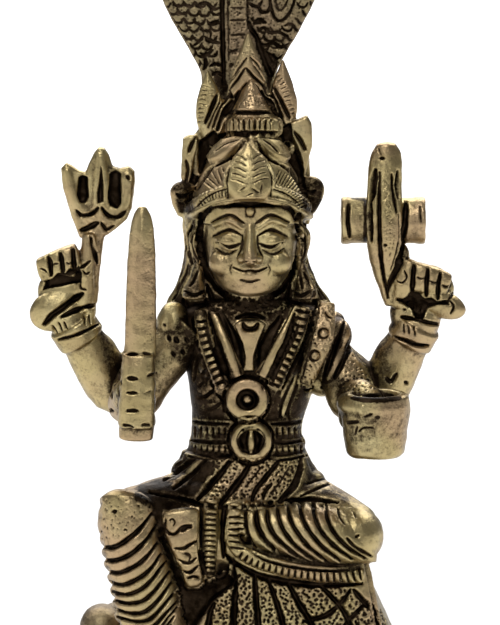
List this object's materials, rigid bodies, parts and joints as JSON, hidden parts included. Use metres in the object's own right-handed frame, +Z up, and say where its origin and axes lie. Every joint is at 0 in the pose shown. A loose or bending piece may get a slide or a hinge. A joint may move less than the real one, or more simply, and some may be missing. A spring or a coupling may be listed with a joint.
{
  "type": "hindu goddess statue",
  "caption": "Cast antique-brass idol of a seated four-armed Hindu goddess with trident, drum, sword and bowl, under a cobra hood, on a stepped plinth.",
  "frame": {"origin": "middle of the plinth's underside", "axes": "+Z up, the goddess faces -Y, the sword side is -X and the bowl side is +X"},
  "size_m": [0.0756, 0.044, 0.1501],
  "materials": {
    "antique_brass": "antique: polished high points, near-black patina in the recesses"
  },
  "bodies": {
    "root": {"goddess_statue": "antique_brass"}
  },
  "joints": []
}
